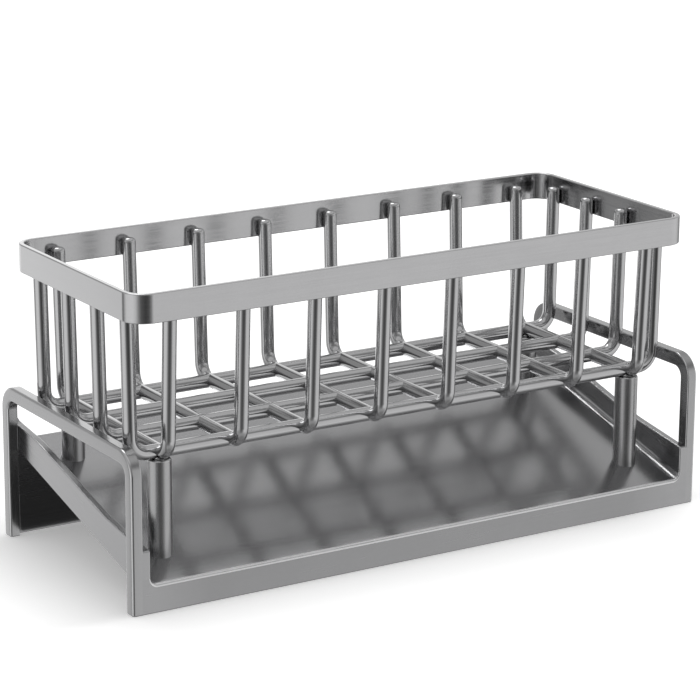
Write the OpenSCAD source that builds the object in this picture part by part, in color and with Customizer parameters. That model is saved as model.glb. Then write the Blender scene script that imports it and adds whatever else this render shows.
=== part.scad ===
// Sink caddy in two halves: a wire basket that plugs into a sloped drain base.
// Millimetres, +Z up. The origin is the middle of the base's footprint, on the
// surface it stands on. +X runs to the right, the front apron faces -Y.

/* [Base] */
// Length of the base over the two side frames
base_l = 240; // [220:2:280]
// Depth of the base, front to back
base_d = 101; // [96:1:125]
// Height of the side frames
frame_h = 58; // [54:1:75]
// Thickness of the side frame bar, along X
frame_t = 4.2; // [3:0.2:5]
// Height of the side frame's top bar
frame_bar = 5.3; // [4:0.1:6]
// Width of the side frame's legs, along Y
frame_leg = 5; // [4:0.2:6]
// Outer corner radius of the side frames
frame_r = 9; // [7:0.5:12]
// Inner corner radius of the side frames
frame_ri = 4; // [2:0.5:5]

/* [Drain tray] */
// Height of the tray's surface at the front edge
tray_front_h = 10.4; // [8:0.2:12]
// Height of the tray's surface at the rear edge
tray_rear_h = 36.2; // [30:0.2:37]
// Thickness of the tray sheet
tray_t = 2; // [1:0.2:2.4]
// Radius of the hollow seam between the tray and the side rails
seam_r = 2.4; // [1:0.2:3]
// Thickness of the front apron and the rear panel
panel_t = 2.2; // [1.6:0.2:3]

/* [Side rails] */
// Thickness of a side rail, along X
rail_t = 2.7; // [2:0.1:3]
// Height of a side rail over the tray at its front end
rail_front_h = 12.5; // [11:0.5:14]
// Height of a side rail over the tray along its middle
rail_mid_h = 9.3; // [8:0.1:9.9]
// Radius of the small upturn at the rear end of a side rail, against the leg
rail_r = 4; // [3:0.5:5]

/* [Posts] */
// Distance between the posts along X
post_x = 200; // [180:1:201]
// Distance between the posts along Y
post_y = 66; // [60:1:67]
// Height of the post tops
post_h = 49; // [48.5:0.1:52]
// Outer diameter of a post
post_d = 8.6; // [8:0.1:10]
// Bore of a post, which takes a plug pin
post_bore = 5.3; // [5.2:0.1:6]

/* [Basket] */
// Length over the rim band
rim_l = 232.6; // [231:0.1:233]
// Depth over the rim band
rim_d = 93; // [91:0.5:95]
// Height of the rim band
rim_h = 10.4; // [8:0.2:14]
// Thickness of the rim band
rim_t = 2; // [1.6:0.1:2]
// Outer corner radius of the rim band
rim_r = 8; // [5:0.5:8]
// Height from the underside of the wires to the top of the rim
basket_h = 62.2; // [50:0.2:90]
// Wire diameter
wire_d = 5.1; // [4.6:0.1:5.2]
// Bend radius at the wire's centre line
bend_r = 6.1; // [5.5:0.1:7]
// Lean of the basket's two ends, in degrees, narrower at the bottom
lean_end = 0.8; // [0:0.2:2]
// Lean of the basket's front and rear, in degrees, narrower at the bottom
lean_side = 2.4; // [0:0.2:2.6]
// How far the wire tops end below the top of the rim
top_drop = 3.2; // [2:0.2:5]
// Gap between the wires and the post tops when the basket is seated
seat_gap = 0.1; // [0.1:0.05:0.3]

/* [Plug pins] */
// Diameter of a plug pin
pin_d = 4.9; // [4:0.1:4.9]
// Length of a plug pin below the wires
pin_l = 7; // [4:0.5:10]

/* [Hidden] */

$fn = 48;
eps = 0.01;

// planes of the base
x_out = base_l / 2;
x_frame = x_out - frame_t;
x_rail = x_frame - rail_t;
y_f = -base_d / 2;
y_r = base_d / 2;
y_fi = y_f + panel_t;
y_ri = y_r - panel_t;

// tray slope
slope = (tray_rear_h - tray_front_h) / base_d;
slope_a = atan(slope);
function tray_z(y) = tray_front_h + slope * (y - y_f);

// planes of the basket, which has one node for each of its wires
n_cross = 8;
wire_r = wire_d / 2;
z_under = post_h + seat_gap;
z_wire = z_under + wire_r;
z_rim = z_under + basket_h;
z_top = z_rim - top_drop - wire_r;
half_x = rim_l / 2 - rim_t - wire_r;
half_y = rim_d / 2 - rim_t - wire_r;
lap = 0.06;
run_in = 0.6;
long_y = [for (i = [0:3]) -post_y / 2 + i * post_y / 3];
cross_x = [for (i = [0:n_cross - 1]) -post_x / 2 + i * post_x / (n_cross - 1)];

// top line of a side rail: a flatter front run, then a run parallel to the tray
rail_front_slope = 0.15;
y_join = y_f + (rail_front_h - rail_mid_h) / (slope - rail_front_slope);
y_flat = y_r - rail_r - 16.5;
y_up = y_r - rail_r;
z_flat = tray_z(y_flat) + rail_mid_h;
z_up = z_flat + 0.13 * (y_up - y_flat);
function rail_z(y) =
    y < y_join ? tray_front_h + rail_front_h + rail_front_slope * (y - y_f) :
    y < y_flat ? tray_z(y) + rail_mid_h :
    z_flat + 0.13 * (y - y_flat);
rail_top = concat(
    [for (y = [y_f, y_join, y_flat]) [y, rail_z(y)]],
    [for (a = [0:9:90]) [y_up + rail_r * sin(a), z_up + rail_r - rail_r * cos(a)]]
);

// A profile drawn in Y and Z, run along X by t from x
module along_x(x, t) {
    translate([x, 0, 0]) rotate([90, 0, 90]) linear_extrude(height = t) children();
}

// Outline of an inverted U with round upper corners
module arch_2d(w, h, r) {
    translate([-w / 2, 0]) square([w, h - r]);
    translate([-w / 2 + r, 0]) square([w - 2 * r, h]);
    for (s = [-1, 1]) translate([s * (w / 2 - r), h - r]) circle(r = r);
}

module side_frame(x) {
    color([0.46, 0.46, 0.47])
    along_x(x, frame_t) difference() {
        arch_2d(base_d, frame_h, frame_r);
        translate([0, -1])
            arch_2d(base_d - 2 * frame_leg, frame_h - frame_bar + 1, frame_ri);
    }
}

// side is -1 for the left rail and 1 for the right one. The upturn is bevelled
// off towards the tray, so that only the side against the leg stands up.
module side_rail(side) {
    color([0.42, 0.42, 0.43])
    difference() {
        along_x(side > 0 ? x_rail : -x_frame, rail_t) polygon(concat(
            [[y_fi, tray_z(y_fi)], [y_f, tray_z(y_f)]],
            rail_top,
            [[y_r, tray_z(y_r)], [y_ri, tray_z(y_ri)],
             [y_ri, tray_z(y_ri) - tray_t], [y_fi, tray_z(y_fi) - tray_t]]
        ));
        translate([side * x_rail, y_up, z_up]) rotate([atan(0.13), 0, 0])
            translate([0, 2 * rail_r, 0]) rotate([90, 0, 0]) linear_extrude(height = 2 * rail_r)
                polygon([[0, 0], [side * rail_t, rail_r * 0.9], [side * (rail_t + 1), rail_r * 0.9],
                         [side * (rail_t + 1), 3 * rail_r], [-side, 3 * rail_r], [-side, 0]]);
    }
}

// Section of the tray across X: a flat sheet with a hollow seam at each side
module tray_2d(t) {
    polygon(concat(
        [[-x_rail, -t], [x_rail, -t]],
        [for (a = [0:9:90]) [x_rail - seam_r + seam_r * cos(a), seam_r - seam_r * sin(a)]],
        [for (a = [90:-9:0]) [-x_rail + seam_r - seam_r * cos(a), seam_r - seam_r * sin(a)]]
    ));
}

// The tray's sheet between two planes across Y
module tray_run(y0, y1) {
    intersection() {
        translate([0, 0, tray_z(0)]) rotate([slope_a, 0, 0]) rotate([90, 0, 0])
            linear_extrude(height = 2 * base_d, center = true)
                tray_2d(tray_t * cos(slope_a));
        translate([-base_l, y0, -base_d]) cube([2 * base_l, y1 - y0, 3 * base_d]);
    }
}

module drain_tray() {
    color([0.4, 0.4, 0.41]) tray_run(y_fi, y_ri);
}

// A wall under an edge of the tray, from the ground to the tray's surface
module edge_wall(y0, y1) {
    along_x(-x_frame, 2 * x_frame)
        polygon([[y0, 0], [y1, 0], [y1, tray_z(y1)], [y0, tray_z(y0)]]);
    tray_run(y0, y1);
}

module front_apron() {
    color([0.5, 0.5, 0.51]) edge_wall(y_f, y_fi);
}

module rear_panel() {
    color([0.34, 0.34, 0.35]) edge_wall(y_ri, y_r);
}

// Hollow post, cut at the foot along the tray's surface
module post(x, y) {
    color([0.48, 0.48, 0.49])
    difference() {
        translate([x, y, 0]) cylinder(d = post_d, h = post_h);
        translate([x, y, -1]) cylinder(d = post_bore, h = post_h + 2);
        translate([0, 0, tray_z(0)]) rotate([slope_a, 0, 0])
            translate([-base_l, -2 * base_d, -2 * base_d]) cube([2 * base_l, 4 * base_d, 2 * base_d]);
    }
}

// Flat plan outline with round corners
module ring_2d(l, d, r) {
    square([l - 2 * r, d], center = true);
    square([l, d - 2 * r], center = true);
    for (sx = [-1, 1], sy = [-1, 1])
        translate([sx * (l / 2 - r), sy * (d / 2 - r)]) circle(r = r);
}

module rim_band() {
    color([0.5, 0.5, 0.51])
    translate([0, 0, z_rim - rim_h]) linear_extrude(height = rim_h) difference() {
        ring_2d(rim_l, rim_d, rim_r);
        ring_2d(rim_l - 2 * rim_t, rim_d - 2 * rim_t, rim_r - rim_t);
    }
}

// A wire bent to a wide U in the X and Z plane, round on top, resting at z_wire.
// Its two legs lean apart, so that their tops stand at half. The straight runs
// reach a little way into the bends, which are drawn 0.1 mm thinner.
module u_wire(half, lean) {
    corner = half - (z_top - z_wire) * tan(lean);
    bend_x = corner - bend_r * tan(45 - lean / 2);
    leg_z = z_wire + bend_r * (1 - sin(lean));
    for (s = [-1, 1]) {
        translate([s * half, 0, z_top]) rotate([0, 180 + s * lean, 0]) rotate_extrude() {
            square([wire_r, (z_top - leg_z) / cos(lean) + run_in]);
            intersection() {
                circle(r = wire_r);
                translate([0, -wire_r]) square([wire_r, wire_r]);
            }
        }
        translate([s * bend_x, 0, z_wire + bend_r]) rotate([0, 0, s > 0 ? 0 : 180])
            rotate([90, 0, 0]) rotate([0, 0, -90])
                rotate_extrude(angle = 90 - lean) translate([bend_r, 0]) circle(r = wire_r - 0.1);
    }
    translate([-bend_x - run_in, 0, z_wire]) rotate([0, 90, 0]) cylinder(r = wire_r, h = 2 * (bend_x + run_in));
}

// Long wire: a U along X, notched from above for every cross wire
module long_wire(y) {
    color([0.47, 0.47, 0.48])
    difference() {
        translate([0, y, 0]) u_wire(half_x, lean_end);
        for (x = cross_x) translate([x - wire_r - lap, y - 2 * wire_r, z_wire])
            cube([2 * (wire_r + lap), 4 * wire_r, 2 * wire_r]);
    }
}

// Cross wire: a U along Y, with a half round channel from below for every long wire
module cross_wire(x) {
    color([0.45, 0.45, 0.46])
    difference() {
        translate([x, 0, 0]) rotate([0, 0, 90]) u_wire(half_y, lean_side);
        for (y = long_y) translate([x, y, z_wire]) intersection() {
            rotate([0, 90, 0]) cylinder(r = wire_r + lap, h = 4 * wire_r, center = true);
            translate([-3 * wire_r, -3 * wire_r, -3 * wire_r]) cube([6 * wire_r, 6 * wire_r, 3 * wire_r]);
        }
    }
}

// Plug pin under a crossing, with its head coped to both wires
module plug_pin(x, y) {
    color([0.48, 0.48, 0.49])
    difference() {
        translate([x, y, z_under - pin_l]) cylinder(d = pin_d, h = pin_l + wire_r * 0.6);
        translate([x, y, z_wire]) rotate([0, 90, 0])
            cylinder(r = wire_r + 0.02, h = 4 * wire_r, center = true);
        translate([x, y, z_wire]) rotate([90, 0, 0])
            cylinder(r = wire_r + lap, h = 4 * wire_r, center = true);
    }
}

module side_frame_left() { side_frame(-x_out); }
module side_frame_right() { side_frame(x_frame); }
module side_rail_left() { side_rail(-1); }
module side_rail_right() { side_rail(1); }
module post_front_left() { post(-post_x / 2, -post_y / 2); }
module post_front_right() { post(post_x / 2, -post_y / 2); }
module post_rear_left() { post(-post_x / 2, post_y / 2); }
module post_rear_right() { post(post_x / 2, post_y / 2); }
module long_wire_front() { long_wire(long_y[0]); }
module long_wire_mid_front() { long_wire(long_y[1]); }
module long_wire_mid_rear() { long_wire(long_y[2]); }
module long_wire_rear() { long_wire(long_y[3]); }
module cross_wire_1() { cross_wire(cross_x[0]); }
module cross_wire_2() { cross_wire(cross_x[1]); }
module cross_wire_3() { cross_wire(cross_x[2]); }
module cross_wire_4() { cross_wire(cross_x[3]); }
module cross_wire_5() { cross_wire(cross_x[4]); }
module cross_wire_6() { cross_wire(cross_x[5]); }
module cross_wire_7() { cross_wire(cross_x[6]); }
module cross_wire_8() { cross_wire(cross_x[7]); }
module plug_pin_front_left() { plug_pin(-post_x / 2, -post_y / 2); }
module plug_pin_front_right() { plug_pin(post_x / 2, -post_y / 2); }
module plug_pin_rear_left() { plug_pin(-post_x / 2, post_y / 2); }
module plug_pin_rear_right() { plug_pin(post_x / 2, post_y / 2); }

side_frame_left();
side_frame_right();
side_rail_left();
side_rail_right();
drain_tray();
front_apron();
rear_panel();
post_front_left();
post_front_right();
post_rear_left();
post_rear_right();
rim_band();
long_wire_front();
long_wire_mid_front();
long_wire_mid_rear();
long_wire_rear();
cross_wire_1();
cross_wire_2();
cross_wire_3();
cross_wire_4();
cross_wire_5();
cross_wire_6();
cross_wire_7();
cross_wire_8();
plug_pin_front_left();
plug_pin_front_right();
plug_pin_rear_left();
plug_pin_rear_right();
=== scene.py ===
from math import atan, cos, hypot, pi, radians, sin, tan

import bmesh
import bpy
from mathutils import Matrix, Vector


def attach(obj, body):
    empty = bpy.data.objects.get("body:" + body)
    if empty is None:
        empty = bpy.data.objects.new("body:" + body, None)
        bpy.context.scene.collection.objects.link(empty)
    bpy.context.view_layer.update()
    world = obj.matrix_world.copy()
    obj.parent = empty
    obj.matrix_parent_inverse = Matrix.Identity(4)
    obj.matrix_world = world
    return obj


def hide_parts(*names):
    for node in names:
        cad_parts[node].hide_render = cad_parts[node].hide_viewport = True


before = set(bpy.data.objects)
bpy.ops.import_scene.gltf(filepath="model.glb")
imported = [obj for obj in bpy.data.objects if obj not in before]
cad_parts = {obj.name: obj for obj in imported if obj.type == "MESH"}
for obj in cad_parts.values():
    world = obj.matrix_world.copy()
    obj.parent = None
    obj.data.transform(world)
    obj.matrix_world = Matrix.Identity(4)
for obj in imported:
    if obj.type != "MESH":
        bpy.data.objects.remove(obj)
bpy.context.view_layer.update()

# ---------------------------------------------------------------- sizes, in mm
X_OUT, X_FRAME, X_RAIL = 120.0, 115.8, 113.1      # outside of the side frames, their inside, inside of the rails
Y_F, Y_R = -50.5, 50.5                            # front and rear faces
Y_FI, Y_RI = -48.3, 48.3                          # inside of the apron and of the rear panel
FRAME_H, FRAME_BAR, FRAME_LEG = 58.0, 5.3, 5.0
FRAME_RO, FRAME_RI = 9.0, 4.0
TRAY_F, TRAY_SLOPE, TRAY_T = 10.4, 25.8 / 101.0, 2.0
SEAM = 2.4
RAIL_R = 4.0
POST_X, POST_Y, POST_H, POST_R, BORE_R = 100.0, 33.0, 49.0, 4.3, 2.65
RIM_X, RIM_Y, RIM_T, RIM_R = 116.3, 46.5, 2.0, 8.0
RIM_Z0, RIM_Z1 = 100.9, 111.3
WIRE_R, WIRE_Z, WIRE_TOP, BEND_R = 2.55, 51.65, 108.1, 6.1
LONG_Y = [-33.0, -11.0, 11.0, 33.0]
CROSS_X = [-100.0 + 200.0 * i / 7 for i in range(8)]
PIN_R, PIN_Z = 2.45, 42.1
ROUND = 4                                         # segments across a rounded edge
MEET = 0.5                                        # radius of the frame's edge that the rail and the walls run up to


def tray_z(y):
    return TRAY_F + TRAY_SLOPE * (y - Y_F)


SEAM_V = SEAM / cos(atan(TRAY_SLOPE))             # the seam's radius, measured straight up


# ---------------------------------------------------------------- mesh helper
class Shape:
    """A closed mesh in mm. Each corner knows how far it lies along the piece (the grain) and whether it is on a rounded edge."""

    def __init__(self):
        self.co, self.grain, self.edge, self.faces, self.mats = [], [], [], [], []

    def v(self, p, g=None, e=0.0):
        self.co.append(tuple(p))
        self.grain.append(tuple(g if g is not None else p))
        self.edge.append(e)
        return len(self.co) - 1

    def f(self, idx, m=0):
        self.faces.append(tuple(idx))
        self.mats.append(m)

    def rings(self, rings, close=False, caps=True, m=None, cap_m=0):
        """Joins closed rings of equal length. m(k) gives the material of the face after corner k."""
        n = len(rings[0])
        pairs = list(zip(rings[:-1], rings[1:])) + ([(rings[-1], rings[0])] if close else [])
        for a, b in pairs:
            for k in range(n):
                j = (k + 1) % n
                self.f((a[k], a[j], b[j], b[k]), m(k) if m else 0)
        if caps and not close:
            self.f(rings[0], cap_m)
            self.f(rings[-1], cap_m)


def build(name, shape, body, materials, node, mirror=False, sharp=42.0):
    me = bpy.data.meshes.new(name)
    bm = bmesh.new()
    grain = bm.verts.layers.float_vector.new("grain")
    edge = bm.verts.layers.float.new("edge")
    s = -1.0 if mirror else 1.0
    verts = []
    for p, g, e in zip(shape.co, shape.grain, shape.edge):
        bv = bm.verts.new((s * p[0] * 0.001, p[1] * 0.001, p[2] * 0.001))
        bv[grain] = (g[0] * 0.001, g[1] * 0.001, g[2] * 0.001)
        bv[edge] = e
        verts.append(bv)
    for idx, m in zip(shape.faces, shape.mats):
        bf = bm.faces.new([verts[i] for i in idx])
        bf.smooth = True
        bf.material_index = m
    bmesh.ops.remove_doubles(bm, verts=bm.verts, dist=2e-7)
    bmesh.ops.dissolve_degenerate(bm, edges=bm.edges, dist=1e-7)
    bmesh.ops.recalc_face_normals(bm, faces=bm.faces)
    bm.to_mesh(me)
    bm.free()
    for m in materials:
        me.materials.append(m)
    me.set_sharp_from_angle(angle=radians(sharp))
    ob = bpy.data.objects.new(name, me)
    bpy.context.scene.collection.objects.link(ob)
    wn = ob.modifiers.new("even shading", "WEIGHTED_NORMAL")
    wn.mode = "FACE_AREA"
    wn.weight = 60
    wn.keep_sharp = True
    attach(ob, body)
    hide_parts(node)
    return ob


def steps(n, a0=0.0, a1=pi / 2):
    return [a0 + (a1 - a0) * i / n for i in range(n + 1)]


def mid(k, n):
    """1 inside a rounded edge, 0 where it meets a flat."""
    return 0.0 if k in (0, n) else 1.0


# ---------------------------------------------------------------- materials
def steel(name, tone, rough, brush=(45.0, 1700.0, 1700.0), contrast=0.05, spread=0.035, bump=0.05, edge_wear_and_highlight=0.10):
    """Satin metal: a fine brushed grain along the piece, soft clouds in the finish, and rounded edges toned lighter,
    partly as wear and partly as a painted highlight.
    """
    mat = bpy.data.materials.new(name)
    mat.use_nodes = True
    nt = mat.node_tree
    nt.nodes.clear()
    N, L = nt.nodes.new, nt.links.new
    out = N("ShaderNodeOutputMaterial")
    bsdf = N("ShaderNodeBsdfPrincipled")
    bsdf.inputs["Metallic"].default_value = 1.0
    L(bsdf.outputs["BSDF"], out.inputs["Surface"])

    grain = N("ShaderNodeAttribute"); grain.attribute_name = "grain"
    edge = N("ShaderNodeAttribute"); edge.attribute_name = "edge"

    fine_map = N("ShaderNodeMapping"); fine_map.inputs["Scale"].default_value = brush
    fine = N("ShaderNodeTexNoise"); fine.inputs["Scale"].default_value = 1.0
    fine.inputs["Detail"].default_value = 3.0; fine.inputs["Roughness"].default_value = 0.6
    L(grain.outputs["Vector"], fine_map.inputs["Vector"]); L(fine_map.outputs["Vector"], fine.inputs["Vector"])

    cloud = N("ShaderNodeTexNoise"); cloud.inputs["Scale"].default_value = 55.0
    cloud.inputs["Detail"].default_value = 2.0; cloud.inputs["Roughness"].default_value = 0.5
    L(grain.outputs["Vector"], cloud.inputs["Vector"])

    speck = N("ShaderNodeTexNoise"); speck.inputs["Scale"].default_value = 900.0
    speck.inputs["Detail"].default_value = 2.0; speck.inputs["Roughness"].default_value = 0.7
    L(grain.outputs["Vector"], speck.inputs["Vector"])

    def spread_of(src, lo, hi, a, b):
        m = N("ShaderNodeMapRange")
        m.inputs["From Min"].default_value, m.inputs["From Max"].default_value = lo, hi
        m.inputs["To Min"].default_value, m.inputs["To Max"].default_value = a, b
        L(src, m.inputs["Value"])
        return m.outputs["Result"]

    def math(op, a, b):
        m = N("ShaderNodeMath"); m.operation = op
        for s, x in zip(m.inputs, (a, b)):
            if isinstance(x, (int, float)):
                s.default_value = x
            else:
                L(x, s)
        return m.outputs[0]

    # tone: clouds and grain, and lighter on rounded edges, partly wear and partly a painted highlight
    t = math("ADD", spread_of(cloud.outputs["Fac"], 0.3, 0.7, -0.5, 0.5), spread_of(fine.outputs["Fac"], 0.3, 0.7, -0.6, 0.6))
    t = math("ADD", t, spread_of(speck.outputs["Fac"], 0.3, 0.7, -0.25, 0.25))
    t = math("MULTIPLY", t, contrast)
    # painted highlight along the rounded edges, partly real wear: the edge mask lightens the tone
    e = math("MULTIPLY", edge.outputs["Fac"], edge_wear_and_highlight)
    t = math("ADD", math("ADD", t, e), 0.5)
    ramp = N("ShaderNodeValToRGB")
    el = ramp.color_ramp.elements
    el[0].position, el[1].position = 0.0, 1.0
    el[0].color = (tone[0] * 0.5, tone[1] * 0.5, tone[2] * 0.5, 1)
    el[1].color = (min(1, tone[0] * 1.5), min(1, tone[1] * 1.5), min(1, tone[2] * 1.5), 1)
    L(t, ramp.inputs["Fac"])
    L(ramp.outputs["Color"], bsdf.inputs["Base Color"])

    # gloss: streaks of the grain, clouds, and the rubbed edge
    r = math("ADD", spread_of(fine.outputs["Fac"], 0.3, 0.7, rough - spread, rough + spread),
             spread_of(cloud.outputs["Fac"], 0.3, 0.7, -spread * 0.5, spread * 0.5))
    r = math("SUBTRACT", r, math("MULTIPLY", edge.outputs["Fac"], 0.03))
    L(r, bsdf.inputs["Roughness"])

    b = N("ShaderNodeBump")
    b.inputs["Strength"].default_value = bump
    b.inputs["Distance"].default_value = 0.00006
    L(fine.outputs["Fac"], b.inputs["Height"])
    L(b.outputs["Normal"], bsdf.inputs["Normal"])
    return mat


# Base and basket share one satin finish. Their tones differ by part as painted light and shade: the basket is toned
# lighter than the base, standing in for the brighter light on it.
FRAME_TONE = (0.365, 0.365, 0.369)
BASKET_TONE = (0.470, 0.470, 0.475)
m_frame = steel("satin_frame", FRAME_TONE, 0.20, edge_wear_and_highlight=0.45)
m_panel = steel("satin_panel", (0.395, 0.395, 0.400), 0.23, brush=(30.0, 1500.0, 1500.0), edge_wear_and_highlight=0.42)
# painted shade: the apron and the rear wall are toned darker than the frame and rails beside them
m_apron = steel("satin_apron", (0.305, 0.305, 0.309), 0.24, brush=(30.0, 1500.0, 1500.0), edge_wear_and_highlight=0.30)
# painted highlight: a much lighter tone on the rounded fold along the top of the apron and the rear wall
m_fold_highlight = steel("painted_fold_highlight", (0.640, 0.640, 0.646), 0.30, brush=(30.0, 1500.0, 1500.0), edge_wear_and_highlight=0.10)
m_tray = steel("smooth_tray", (0.420, 0.420, 0.426), 0.20, brush=(26.0, 1300.0, 1300.0), contrast=0.025, spread=0.02, bump=0.02)
m_post = steel("satin_post", (0.395, 0.395, 0.399), 0.28, brush=(60.0, 1900.0, 1900.0), edge_wear_and_highlight=0.48)
m_band = steel("satin_band", BASKET_TONE, 0.16, brush=(30.0, 1600.0, 1600.0))
m_wire = steel("satin_wire", (0.465, 0.465, 0.470), 0.14, brush=(70.0, 2100.0, 2100.0), contrast=0.04, spread=0.02, bump=0.025)
m_pin = steel("satin_pin", (0.465, 0.465, 0.470), 0.14, brush=(160.0, 1500.0, 1500.0))


# ---------------------------------------------------------------- side frames
def side_frame():
    s = Shape()
    stations = []                                  # outer point, inner point, length along, foot inset

    def foot(sign):
        return [(sign, 0.6 * (1 - cos(a)), 0.6 * (1 - sin(a))) for a in steps(ROUND)]

    run = 0.0
    for sign, z, inset in foot(-1):
        stations.append(((Y_F, z), (Y_F + FRAME_LEG, z), z, inset))
    for z in (12.0, 24.0, 36.0, FRAME_H - FRAME_RO):
        stations.append(((Y_F, z), (Y_F + FRAME_LEG, min(z, FRAME_H - FRAME_BAR - FRAME_RI)), z, 0.0))
    run = FRAME_H - FRAME_RO
    cy, czo, czi = Y_F + FRAME_RO, FRAME_H - FRAME_RO, FRAME_H - FRAME_BAR - FRAME_RI
    for a in steps(18)[1:]:
        stations.append(((cy - FRAME_RO * cos(a), czo + FRAME_RO * sin(a)),
                         (cy - FRAME_RI * cos(a), czi + FRAME_RI * sin(a)), run + 6.5 * a, 0.0))
    run += 6.5 * pi / 2
    for i in range(1, 9):
        y = cy + (-2 * cy) * i / 9
        stations.append(((y, FRAME_H), (y, FRAME_H - FRAME_BAR), run + y - cy, 0.0))
    run += -2 * cy
    cy = -cy
    for a in steps(18):
        stations.append(((cy + FRAME_RO * sin(a), czo + FRAME_RO * cos(a)),
                         (cy + FRAME_RI * sin(a), czi + FRAME_RI * cos(a)), run + 6.5 * a, 0.0))
    run += 6.5 * pi / 2
    for z in (36.0, 22.0, 10.0):
        stations.append(((Y_R, z), (Y_R - FRAME_LEG, z), run + czo - z, 0.0))
    for sign, z, inset in reversed(foot(1)):
        stations.append(((Y_R, z), (Y_R - FRAME_LEG, z), run + czo - z, inset))

    rings = []
    for (oy, oz), (iy, iz), along, inset in stations:
        w = hypot(iy - oy, iz - oz)
        dy, dz = (iy - oy) / w, (iz - oz) / w
        r0, r1 = inset, w - inset
        x0, x1 = -X_OUT + inset, -X_FRAME
        ring = []

        def corner(rc, xc, sr, sx, rad, back):
            pts = []
            for k, a in enumerate(steps(ROUND)):
                r = rc + sr * rad * (1 - cos(a))
                x = xc + sx * rad * (1 - sin(a))
                pts.append(s.v((x, oy + dy * r, oz + dz * r), (along, r, x), mid(k, ROUND) if rad > 0.1 else 0.0))
            ring.extend(reversed(pts) if back else pts)

        corner(r0, x0, 1, 1, 0.9, False)
        corner(r1, x0, -1, 1, 0.75, True)
        corner(r1, x1, -1, -1, 0.6, False)
        corner(r0, x1, 1, -1, MEET, True)
        rings.append(ring)
    s.rings(rings)
    return s


# ---------------------------------------------------------------- side rails
def rail_outline():
    """Upper edge of a rail, front to back, with the direction into the sheet at each point."""
    seam_f = tray_z(Y_F) + SEAM_V
    front_top = TRAY_F + 12.5
    k1, k2 = 0.15, TRAY_SLOPE
    y_join = Y_F + (12.5 - 9.3) / (k2 - k1)
    y_flat = Y_R - RAIL_R - 16.5
    z_flat = tray_z(y_flat) + 9.3
    z_up = z_flat + 0.13 * 16.5
    cyc, czc, rr = Y_R - RAIL_R, z_up + RAIL_R, RAIL_R
    pts = [(Y_F, seam_f), (Y_F, seam_f + 3.5), (Y_F, seam_f + 7.0)]
    # front corner, then the three runs with eased joints
    rc = 0.9
    a_end = pi / 2 - atan(k1)
    cx = Y_F + rc
    cz = front_top + k1 * rc - rc * hypot(1, k1)
    for a in steps(5, 0.0, a_end):
        pts.append((cx - rc * cos(a), cz + rc * sin(a)))

    def ease(p0, p1, p2, n=8):
        return [((1 - t) ** 2 * p0[0] + 2 * t * (1 - t) * p1[0] + t * t * p2[0],
                 (1 - t) ** 2 * p0[1] + 2 * t * (1 - t) * p1[1] + t * t * p2[1]) for t in [i / n for i in range(n + 1)]]

    zj = tray_z(y_join) + 9.3
    e = 5.0
    pts += [(Y_F + d, front_top + k1 * d) for d in (2.2, 4.4, 8.0, 16.0)]
    pts += ease((y_join - e, zj - k1 * e), (y_join, zj), (y_join + e, zj + k2 * e))
    pts += [(y, tray_z(y) + 9.3) for y in (-5.0, 5.0, 15.0)]
    tx, tz = cyc + rr * sin(atan(0.127)), czc - rr * cos(atan(0.127))
    k3 = (tz - z_flat) / (tx - y_flat)
    pts += ease((y_flat - e, z_flat - k2 * e), (y_flat, z_flat), (y_flat + e, z_flat + k3 * e))
    for a in steps(14, atan(k3), pi / 2):
        pts.append((cyc + rr * sin(a), czc - rr * cos(a)))
    out = []
    for i, p in enumerate(pts):
        a, b = pts[max(0, i - 1)], pts[min(len(pts) - 1, i + 1)]
        if i == 0:
            t = (0.0, 1.0)
        elif i == len(pts) - 1:
            t = (0.0, 1.0)
        else:
            w1, w2 = hypot(p[0] - a[0], p[1] - a[1]), hypot(b[0] - p[0], b[1] - p[1])
            t1, t2 = ((p[0] - a[0]) / w1, (p[1] - a[1]) / w1), ((b[0] - p[0]) / w2, (b[1] - p[1]) / w2)
            # the longer side is the straight one, so it sets the direction at a joint
            if w1 > 3 * w2:
                t = t1
            elif w2 > 3 * w1:
                t = t2
            else:
                t = (t1[0] + t2[0], t1[1] + t2[1])
        w = hypot(*t)
        out.append((p, (t[1] / w, -t[0] / w)))
    return out


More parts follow.
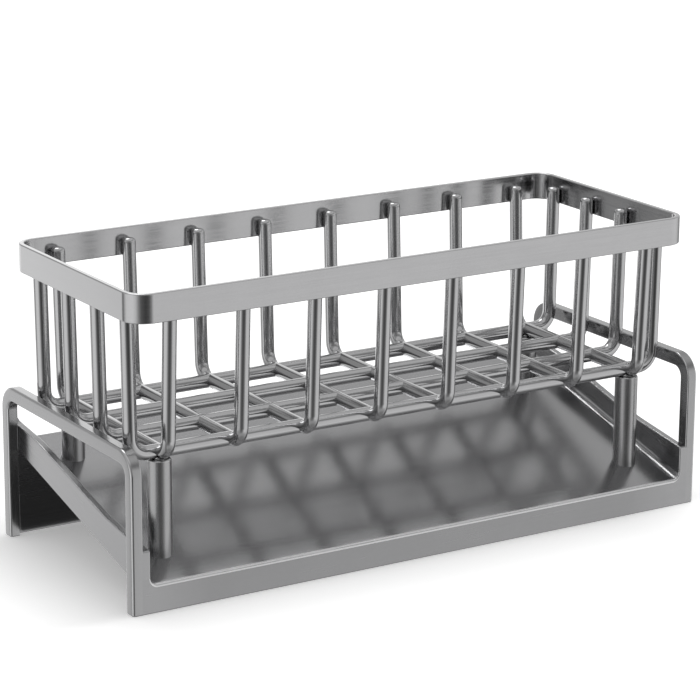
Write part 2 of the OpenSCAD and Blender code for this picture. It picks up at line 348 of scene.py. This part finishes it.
def side_rail():
    s = Shape()
    rings, inner, outer = [], [], []
    line = rail_outline()
    for i, ((y, z), (ny, nz)) in enumerate(line):
        bi = min(0.45, 0.9 * (Y_R - y)) if y > 40 else 0.45
        bo = min(0.35, 0.9 * (Y_R - y)) if y > 40 else 0.35
        ring = []

        y_low = Y_R - RAIL_R                       # from here on the inner side runs straight on, under the upturn
        z_low = tray_z(Y_R - RAIL_R - 16.5) + 9.3 + 0.13 * (16.5 + y - y_low)
        inner_low = y > y_low and z > z_low

        def put(x, o, e, low=False):
            dz = TRAY_SLOPE * o if i == 0 else 0.0
            yy, zz = y + ny * o, z + nz * o + dz
            if low and inner_low:
                yy, zz = y, z_low - o
            return s.v((x, yy, zz), (yy, x, zz - 0.25 * yy), e)

        flare = y < Y_F + 1.0
        for k, a in enumerate(steps(ROUND)):
            if flare:                              # fills the rounded edge of the side frame, so the front is flush
                ring.append(put(-X_FRAME - MEET * (1 - cos(a)), MEET * (1 - sin(a)), 0.0))
            else:
                ring.append(put(-X_FRAME + bo * (1 - cos(a)), bo * (1 - sin(a)), mid(k, ROUND) * (1 if bo > 0.1 else 0)))
        for k, a in enumerate(steps(ROUND)):
            ring.append(put(-X_RAIL - bi * (1 - sin(a)), bi * (1 - cos(a)), mid(k, ROUND) * (1 if bi > 0.1 else 0), True))
        outer.append(ring[0])
        inner.append(ring[-1])
        rings.append(ring)
    for i, (a, b) in enumerate(zip(rings[:-1], rings[1:])):
        for k in range(len(a) - 1):
            s.f((a[k], a[k + 1], b[k + 1], b[k]), 1 if i < 3 else 0)
    low = [(Y_R, tray_z(Y_R) + SEAM_V), (Y_RI, tray_z(Y_RI) + SEAM_V), (Y_RI, tray_z(Y_RI) - TRAY_T),
           (Y_FI, tray_z(Y_FI) - TRAY_T), (Y_FI, tray_z(Y_FI) + SEAM_V)]
    li = [s.v((-X_RAIL, y, z), (y, -X_RAIL, z - 0.25 * y)) for y, z in low]
    lo = [s.v((-X_FRAME, y, z), (y, -X_FRAME, z - 0.25 * y)) for y, z in low]
    s.f(inner + li)
    s.f(outer + lo)
    last, first = rings[-1], rings[0]
    s.f(last + [li[0], lo[0]])
    for k in range(len(low) - 1):
        s.f((li[k], li[k + 1], lo[k + 1], lo[k]))
    s.f([li[-1]] + list(reversed(first)) + [lo[-1]])
    return s


# ---------------------------------------------------------------- tray, apron, rear panel
def drain_tray():
    s = Shape()
    section = [(-X_RAIL, -TRAY_T)]
    section += [(-100.0 + 20.0 * i, -TRAY_T) for i in range(11)]
    section += [(X_RAIL, -TRAY_T)]
    section += [(X_RAIL - SEAM + SEAM * cos(a), SEAM_V - SEAM_V * sin(a)) for a in steps(12)]
    section += [(100.0 - 20.0 * i, 0.0) for i in range(11)]
    section += [(-X_RAIL + SEAM - SEAM * sin(a), SEAM_V - SEAM_V * cos(a)) for a in steps(12)]
    rings = []
    for i in range(9):
        y = Y_FI + (Y_RI - Y_FI) * i / 8
        rings.append([s.v((x, y, tray_z(y) + z), (x, y, z)) for x, z in section])
    s.rings(rings)
    return s


def edge_wall(y_out, y_in):
    """Upright sheet under an edge of the tray. Its face runs up into the ends of the side rails round a hollow seam."""
    s = Shape()
    d = 1.0 if y_in > y_out else -1.0
    fb = 0.6
    seam_z = tray_z(y_out) + SEAM_V
    stations = [("end", -X_FRAME - MEET)]
    stations += [("seam", -1.0, a) for a in reversed(steps(12))]
    stations += [("flat", -90.0 + 20.0 * i) for i in range(10)]
    stations += [("seam", 1.0, a) for a in steps(12)]
    stations += [("end", X_FRAME + MEET)]
    rings = []
    for st in stations:
        if st[0] == "end":
            x = st[1]
            face = surf = x
            top = [(x, y_out, seam_z, 0.0)] * (ROUND + 1)
            back = (x, y_in, seam_z + TRAY_SLOPE * (y_in - y_out))
        else:
            if st[0] == "flat":
                side, a, cx = 0.0, 0.0, st[1]
            else:
                side, a = st[1], st[2]
                cx = side * (X_RAIL - SEAM + SEAM * sin(a))
            cz = tray_z(y_out) + SEAM_V * (1 - cos(a))
            nx, nz = side * sin(a), -cos(a)
            b = 1.0 - 0.55 * sin(a)
            face, surf = cx + nx * b, cx
            top = []
            for k, t in enumerate(steps(ROUND)):
                o = b * (1 - sin(t))
                yy = y_out + d * b * (1 - cos(t))
                top.append((cx + nx * o, yy, cz + nz * o + TRAY_SLOPE * (yy - y_out), mid(k, ROUND)))
            back = (surf, y_in, cz + TRAY_SLOPE * (y_in - y_out))
        # painted light: the wall's ends are toned lighter through the edge mask, so the wall's painted shade fades out
        # towards the legs
        pale = 0.0 if st[0] == "flat" else 0.55    # the wall's ends are as light as the legs beside them
        ring = []
        for k, t in enumerate(steps(ROUND)):
            ring.append(s.v((surf, y_in - d * 0.4 * (1 - cos(t)), 0.4 * (1 - sin(t)))))
        for k, t in enumerate(steps(ROUND)):
            ring.append(s.v((face, y_out + d * fb * (1 - sin(t)), fb * (1 - cos(t))), e=max(pale, mid(k, ROUND))))
        for x, y, z, e in top:
            ring.append(s.v((x, y, z), e=max(pale, e)))
        ring.append(s.v(back))
        rings.append(ring)
    n0 = 3 * (ROUND + 1)                           # the faces before this one are the rounded fold, the last is the sheet's top
    # the rounded fold takes the painted highlight material (slot 2), and the sheet's top takes the tray's
    s.rings(rings, m=lambda k: 1 if k == n0 - 1 else 2 if n0 - 1 - ROUND <= k < n0 - 1 else 0)
    return s


# ---------------------------------------------------------------- posts and pins
def post(px, py):
    s = Shape()
    n = 56
    rows = []
    profile = [("foot", POST_R, 0.0), ("z", POST_R, 30.0 if py < 0 else 42.0), ("z", POST_R, POST_H - 0.55)]
    profile += [("b", POST_R - 0.55 * (1 - cos(a)), POST_H - 0.55 * (1 - sin(a)), 1.0) for a in steps(4)[1:]]
    profile += [("b", BORE_R + 0.4 * (1 - sin(a)), POST_H - 0.4 * (1 - cos(a)), 1.0 if k < 4 else 0.0) for k, a in enumerate(steps(4))]
    profile += [("z", BORE_R, 44.0), ("foot", BORE_R, 0.0)]
    for p in profile:
        row = []
        for k in range(n):
            a = 2 * pi * k / n
            x, y = px + p[1] * cos(a), py + p[1] * sin(a)
            z = tray_z(y) - 0.2 if p[0] == "foot" else p[2]
            row.append(s.v((x, y, z), (z, x, y), p[3] if len(p) > 3 else 0.0))
        rows.append(row)
    s.rings(rows, close=True)
    return s


def plug_pin(px, py):
    s = Shape()
    n, r = 40, 0.6
    rows = []
    profile = [(PIN_R - r * (1 - sin(a)), PIN_Z + r * (1 - cos(a)), mid(k, 5)) for k, a in enumerate(steps(5))]
    profile += [(PIN_R, 46.0, 0.0), (PIN_R, WIRE_Z - 0.4, 0.0)]
    for rad, z, e in profile:
        rows.append([s.v((px + rad * cos(2 * pi * k / n), py + rad * sin(2 * pi * k / n), z),
                         (z, rad * cos(2 * pi * k / n), rad * sin(2 * pi * k / n)), e) for k in range(n)])
    s.rings(rows)
    return s


# ---------------------------------------------------------------- basket
def rim_band():
    s = Shape()
    hx, hy, rc = RIM_X - RIM_R, RIM_Y - RIM_R, RIM_R - RIM_T / 2
    path = []                                      # centre line point, outward direction
    for cx, cy, a0 in ((hx, hy, 0.0), (-hx, hy, pi / 2), (-hx, -hy, pi), (hx, -hy, 1.5 * pi)):
        for a in steps(16, a0, a0 + pi / 2):
            path.append(((cx + rc * cos(a), cy + rc * sin(a)), (cos(a), sin(a))))
    full = []
    for i, (p, n) in enumerate(path):
        full.append((p, n))
        q, _ = path[(i + 1) % len(path)]
        gap = hypot(q[0] - p[0], q[1] - p[1])
        m = int(gap // 18)
        for k in range(1, m):
            full.append(((p[0] + (q[0] - p[0]) * k / m, p[1] + (q[1] - p[1]) * k / m), n))
    # the bar's ends meet in the middle of the rear side
    start = min(range(len(full)), key=lambda i: (abs(full[i][0][0]), -full[i][0][1]))
    full = full[start:] + full[:start + 1]
    run, rings, prev = 0.0, [], None
    r = 0.42
    for (p, nrm) in full:
        if prev:
            run += hypot(p[0] - prev[0], p[1] - prev[1])
        prev = p
        ring = []
        for so, sz in ((1, 1), (-1, 1), (-1, -1), (1, -1)):
            pts = []
            for k, a in enumerate(steps(ROUND)):
                o = so * (RIM_T / 2 - r * (1 - cos(a)))
                z = (RIM_Z1 if sz > 0 else RIM_Z0) - sz * r * (1 - sin(a))
                pts.append(s.v((p[0] + nrm[0] * o, p[1] + nrm[1] * o, z), (run, o, z), mid(k, ROUND)))
            ring.extend(pts if so * sz > 0 else reversed(pts))
        rings.append(ring)
    s.rings(rings, caps=False)
    return s


def u_wire(half, lean):
    """Round wire bent to a wide U in the plane of X and Z, with rounded ends and legs that lean apart."""
    n, r = 32, WIRE_R
    cap, crown = 1.65, 0.30
    centre, run = [], 0.0                          # x, z, direction, radius, length along
    la = radians(lean)
    z_mid = WIRE_TOP - r                           # height at which the leg stands at half
    w = half - (z_mid - WIRE_Z) * tan(la) - BEND_R * tan(pi / 4 - la / 2)
    down = (sin(la), -cos(la))
    for k, a in enumerate(steps(7)):
        centre.append((-half, WIRE_TOP - crown - cap + cap * cos(a), down, r - cap + cap * sin(a)))
    leg_x, leg_z = -w - BEND_R * cos(la), WIRE_Z + BEND_R - BEND_R * sin(la)
    for t in (0.0, 0.35, 0.7):
        centre.append((-half + (leg_x + half) * t, z_mid + (leg_z - z_mid) * t, down, r))
    for a in steps(14, la, pi / 2):
        centre.append((-w - BEND_R * cos(a), WIRE_Z + BEND_R - BEND_R * sin(a), (sin(a), -cos(a)), r))
    m = max(4, int(2 * w // 12))
    rest = [(-x, z, (dx, -dz), rad) for x, z, (dx, dz), rad in reversed(centre)]
    for i in range(1, m):
        centre.append((-w + 2 * w * i / m, WIRE_Z, (1, 0), r))
    centre += rest
    s = Shape()
    rings, prev = [], None
    for x, z, (dx, dz), rad in centre:
        if prev:
            run += hypot(x - prev[0], z - prev[1])
        prev = (x, z)
        bx, bz = dz, -dx                           # outward from the bend, in the wire's plane
        # the wire's rounded end is marked for the edge lightening too: partly wear, partly a painted highlight
        e = 0.6 if 0.5 < rad < r - 0.05 else 0.0
        ring = []
        for k in range(n):
            a = 2 * pi * k / n
            u, v = rad * cos(a), rad * sin(a)
            ring.append(s.v((x + bx * u, v, z + bz * u), (run, u, v), e))
        rings.append(ring)
    s.rings(rings, caps=False)
    for ring, x, zt in ((rings[0], -half, WIRE_TOP), (rings[-1], half, WIRE_TOP)):
        tip = s.v((x, 0.0, zt), (s.grain[ring[0]][0], 0.0, 0.0))
        for k in range(n):
            s.f((ring[k], ring[(k + 1) % n], tip))
    return s


def placed(shape, turn, dx, dy):
    out = Shape()
    out.grain, out.edge, out.faces, out.mats = list(shape.grain), list(shape.edge), list(shape.faces), list(shape.mats)
    out.co = [((-y if turn else x) + dx, (x if turn else y) + dy, z) for x, y, z in shape.co]
    return out


# ---------------------------------------------------------------- the pieces
frame_shape, rail_shape = side_frame(), side_rail()
for side, mirror in (("left", False), ("right", True)):
    build("frame_bar_" + side, frame_shape, "base", [m_frame], "side_frame_" + side, mirror)
    build("rail_sheet_" + side, rail_shape, "base", [m_panel, m_frame], "side_rail_" + side, mirror)
build("tray_sheet", drain_tray(), "base", [m_tray], "drain_tray")
build("apron_sheet", edge_wall(Y_F, Y_FI), "base", [m_apron, m_tray, m_fold_highlight], "front_apron")
build("rear_sheet", edge_wall(Y_R, Y_RI), "base", [m_apron, m_tray, m_fold_highlight], "rear_panel")
for fr, sy in (("front", -1), ("rear", 1)):
    for lr, sx in (("left", -1), ("right", 1)):
        at = (sx * POST_X, sy * POST_Y)
        build("tube_%s_%s" % (fr, lr), post(*at), "base", [m_post], "post_%s_%s" % (fr, lr))
        build("pin_%s_%s" % (fr, lr), plug_pin(*at), "basket", [m_pin], "plug_pin_%s_%s" % (fr, lr))
build("band", rim_band(), "basket", [m_band], "rim_band")
long_shape = u_wire(RIM_X - RIM_T - WIRE_R, 0.8)
cross_shape = u_wire(RIM_Y - RIM_T - WIRE_R, 2.4)
for name, y in zip(("front", "mid_front", "mid_rear", "rear"), LONG_Y):
    build("wire_long_" + name, placed(long_shape, False, 0.0, y), "basket", [m_wire], "long_wire_" + name)
for i, x in enumerate(CROSS_X):
    build("wire_cross_%d" % (i + 1), placed(cross_shape, True, x, 0.0), "basket", [m_wire], "cross_wire_%d" % (i + 1))


# ---------------------------------------------------------------- floor
def floor_material():
    """Pale matt floor that glows: a painted shadow makes it a little less bright close to the caddy and under it, and a
    painted light a little brighter beyond its front and rear.
    """
    mat = bpy.data.materials.new("pale_floor")
    mat.use_nodes = True
    nt = mat.node_tree
    N, L = nt.nodes.new, nt.links.new
    bsdf = nt.nodes["Principled BSDF"]
    bsdf.inputs["Base Color"].default_value = (0.85, 0.85, 0.85, 1)
    bsdf.inputs["Roughness"].default_value = 0.9
    bsdf.inputs["Specular IOR Level"].default_value = 0.0
    bsdf.inputs["Emission Color"].default_value = (1, 1, 1, 1)
    tc = N("ShaderNodeTexCoord")

    def beyond(hx, hy, cx=0.0):
        """Distance outside a rectangle, whose middle is at cx."""
        out = tc.outputs["Object"]
        for op, arg in (("SUBTRACT", (cx, 0.0, 0.0)), ("ABSOLUTE", None), ("SUBTRACT", (hx, hy, 0.0)), ("MAXIMUM", (0.0, 0.0, 0.0))):
            m = N("ShaderNodeVectorMath"); m.operation = op
            L(out, m.inputs[0])
            if arg:
                m.inputs[1].default_value = arg
            out = m.outputs["Vector"]
        m = N("ShaderNodeVectorMath"); m.operation = "LENGTH"
        L(out, m.inputs[0])
        return m.outputs["Value"]

    # painted shadow: the floor's glow is weaker near the caddy and under it
    glow_with_painted_shadow = N("ShaderNodeMapRange"); glow_with_painted_shadow.interpolation_type = "SMOOTHSTEP"
    glow_with_painted_shadow.inputs["From Max"].default_value = 0.070
    glow_with_painted_shadow.inputs["To Min"].default_value, glow_with_painted_shadow.inputs["To Max"].default_value = 0.33, 0.68
    L(beyond(0.092, 0.044, -0.012), glow_with_painted_shadow.inputs["Value"])
    # painted light: the floor glows a little more beyond the caddy's front and rear faces
    front = N("ShaderNodeMapRange"); front.interpolation_type = "SMOOTHSTEP"
    front.inputs["From Max"].default_value = 0.012
    front.inputs["To Max"].default_value = 0.13
    L(beyond(1.0, 0.044), front.inputs["Value"])
    total = N("ShaderNodeMath"); total.operation = "ADD"
    L(glow_with_painted_shadow.outputs["Result"], total.inputs[0]); L(front.outputs["Result"], total.inputs[1])
    L(total.outputs[0], bsdf.inputs["Emission Strength"])

    # in reflections the floor under the tray is dark, as it is in the photographed metal
    # painted shade: for glossy rays the floor under the tray is swapped for a dim glow, standing in for the shadow
    # there
    under = N("ShaderNodeMapRange")
    under.inputs["From Max"].default_value = 0.006
    under.inputs["To Min"].default_value, under.inputs["To Max"].default_value = 1.0, 0.0
    L(beyond(0.112, 0.044), under.inputs["Value"])
    lp = N("ShaderNodeLightPath")
    both = N("ShaderNodeMath"); both.operation = "MULTIPLY"
    L(under.outputs["Result"], both.inputs[0]); L(lp.outputs["Is Glossy Ray"], both.inputs[1])
    painted_under_shade = N("ShaderNodeEmission")
    painted_under_shade.inputs["Color"].default_value = (1, 1, 1, 1)
    painted_under_shade.inputs["Strength"].default_value = 0.04
    mix = N("ShaderNodeMixShader")
    L(both.outputs[0], mix.inputs["Fac"]); L(bsdf.outputs["BSDF"], mix.inputs[1]); L(painted_under_shade.outputs[0], mix.inputs[2])
    L(mix.outputs[0], nt.nodes["Material Output"].inputs["Surface"])
    return mat


def floor_plate(name, outer, inner, mat):
    """Flat floor at z = 0, with a hole if inner is given."""
    me = bpy.data.meshes.new(name)
    (ax, ay) = outer
    if inner:
        (bx, by) = inner
        co = [(-ax, -ay, 0), (ax, -ay, 0), (ax, ay, 0), (-ax, ay, 0), (-bx, -by, 0), (bx, -by, 0), (bx, by, 0), (-bx, by, 0)]
        fs = [(0, 1, 5, 4), (1, 2, 6, 5), (2, 3, 7, 6), (3, 0, 4, 7)]
    else:
        co = [(-ax, -ay, 0), (ax, -ay, 0), (ax, ay, 0), (-ax, ay, 0)]
        fs = [(0, 1, 2, 3)]
    me.from_pydata(co, [], fs)
    me.materials.append(mat)
    ob = bpy.data.objects.new(name, me)
    bpy.context.scene.collection.objects.link(ob)
    return ob


pale = floor_material()
near = floor_plate("floor_near", (0.113, 0.0465), None, pale)
far = floor_plate("floor_far", (6.0, 6.0), (0.113, 0.0465), pale)
far.visible_glossy = False


# ---------------------------------------------------------------- studio: a soft surround
def studio():
    world = bpy.data.worlds.new("studio")
    bpy.context.scene.world = world
    world.use_nodes = True
    nt = world.node_tree
    nt.nodes.clear()
    N, L = nt.nodes.new, nt.links.new

    def math(op, a, b=None, c=None):
        m = N("ShaderNodeMath"); m.operation = op
        for s, x in zip(m.inputs, (a, b, c)):
            if x is None:
                continue
            if isinstance(x, (int, float)):
                s.default_value = x
            else:
                L(x, s)
        return m.outputs[0]

    tc = N("ShaderNodeTexCoord")
    sep = N("ShaderNodeSeparateXYZ")
    L(tc.outputs["Generated"], sep.inputs[0])
    az = math("FRACT", math("DIVIDE", math("ARCTAN2", sep.outputs["Y"], sep.outputs["X"]), 2 * pi))
    el = math("DIVIDE", math("ARCSINE", sep.outputs["Z"]), pi / 180)

    def ring(stops):
        ramp = N("ShaderNodeValToRGB")
        ramp.color_ramp.interpolation = "LINEAR"
        first = stops[0][1]
        stops = list(stops) + [(360, first)]
        els = ramp.color_ramp.elements
        els[0].position, els[1].position = 0.0, 1.0
        els[0].color = els[1].color = (first / 2, first / 2, first / 2, 1)
        for deg, val in stops[1:-1]:
            e = els.new(deg / 360)
            e.color = (val / 2, val / 2, val / 2, 1)
        L(az, ramp.inputs["Fac"])
        return ramp.outputs["Color"]

    under = ring([(0, .70), (100, .70), (180, .70), (205, .50), (225, .26), (250, .20), (264, .36), (278, .80), (300, 1.05), (325, .90)])
    low = ring([(0, .82), (12, .42), (38, .34), (50, .95), (60, 1.25), (98, 1.28), (114, 1.26), (120, .79), (126, .30), (134, .27),
                (143, .70), (156, 1.08), (190, 1.14), (207, .93), (220, .44), (232, .16), (256, .06), (273, .10), (285, .36), (295, .92),
                (304, .92), (318, .98), (342, 1.0)])
    mid_ = ring([(0, .75), (35, .6), (50, .68), (58, 1.02), (65, 1.45), (78, .9), (100, .5), (122, .42), (150, .6), (190, .75), (215, .45),
                 (240, .25), (262, .3), (285, .7), (300, .9), (340, .88)])
    upper = ring([(0, .52), (30, .51), (49, .625), (62, .655), (80, .55), (100, .42), (180, .45), (215, .38), (255, .32), (285, .32),
                  (300, .32), (335, .38)])
    levels = [(-62.0, 0.16), (-46.0, 0.26), (-30.0, under), (-15.0, low), (15.0, mid_), (36.0, upper), (57.0, 0.38), (80.0, 0.33)]
    colour = None
    for i, (deg, c) in enumerate(levels):
        if colour is None:
            colour, prev = c, deg
            continue
        mr = N("ShaderNodeMapRange"); mr.interpolation_type = "SMOOTHSTEP"
        mr.inputs["From Min"].default_value, mr.inputs["From Max"].default_value = prev, deg
        L(el, mr.inputs["Value"])
        mx = N("ShaderNodeMix"); mx.data_type = "RGBA"
        L(mr.outputs["Result"], mx.inputs["Factor"])
        for name, x in (("A", colour), ("B", c)):
            sock = [q for q in mx.inputs if q.name == name and q.type == "RGBA"][0]
            if isinstance(x, float):
                sock.default_value = (x, x, x, 1)
            else:
                L(x, sock)
        colour = [q for q in mx.outputs if q.type == "RGBA"][0]
        prev = deg
    surround = N("ShaderNodeBackground")
    surround.inputs["Strength"].default_value = 2.0
    L(colour, surround.inputs["Color"])
    white = N("ShaderNodeBackground")
    white.inputs["Color"].default_value = (1, 1, 1, 1)
    white.inputs["Strength"].default_value = 1.15
    lp = N("ShaderNodeLightPath")
    mix = N("ShaderNodeMixShader")
    L(lp.outputs["Is Camera Ray"], mix.inputs["Fac"])
    L(surround.outputs[0], mix.inputs[1])
    L(white.outputs[0], mix.inputs[2])

    # a small soft lamp high behind the caddy, seen only as a glint on domed ends and edges
    a, e = radians(84.0), radians(60.0)
    toward = N("ShaderNodeVectorMath"); toward.operation = "DOT_PRODUCT"
    L(tc.outputs["Generated"], toward.inputs[0])
    toward.inputs[1].default_value = (cos(a) * cos(e), sin(a) * cos(e), sin(e))
    disc = N("ShaderNodeMapRange"); disc.interpolation_type = "SMOOTHSTEP"
    disc.inputs["From Min"].default_value, disc.inputs["From Max"].default_value = cos(radians(17.0)), cos(radians(8.0))
    disc.inputs["To Max"].default_value = 5.0
    L(toward.outputs["Value"], disc.inputs["Value"])
    glint = N("ShaderNodeBackground")
    L(math("MULTIPLY", disc.outputs["Result"], lp.outputs["Is Glossy Ray"]), glint.inputs["Strength"])
    both = N("ShaderNodeAddShader")
    L(mix.outputs[0], both.inputs[0]); L(glint.outputs[0], both.inputs[1])
    out = N("ShaderNodeOutputWorld")
    L(both.outputs[0], out.inputs["Surface"])


studio()

# ---------------------------------------------------------------- camera, at the photograph's viewing angle
yaw, pitch, roll = radians(31.88), radians(15.65), radians(0.31)
forward = Vector((sin(yaw) * cos(pitch), cos(yaw) * cos(pitch), -sin(pitch)))
right = forward.cross(Vector((0, 0, 1))).normalized()
up = right.cross(forward)
right, up = cos(roll) * right + sin(roll) * up, -sin(roll) * right + cos(roll) * up
cam = bpy.data.cameras.new("camera")
cam.sensor_width = 36.0
cam.lens = 2942.2 * 36.0 / 700.0
cam.clip_start, cam.clip_end = 0.02, 60.0
camera = bpy.data.objects.new("camera", cam)
bpy.context.scene.collection.objects.link(camera)
m = Matrix((right, up, -forward)).transposed().to_4x4()
m.translation = Vector((-0.00252, 0.0, 0.06553)) - forward * 1.082
camera.matrix_world = m
bpy.context.scene.camera = camera

scene = bpy.context.scene
scene.view_settings.view_transform = "Standard"
scene.cycles.caustics_reflective = False
scene.cycles.caustics_refractive = False
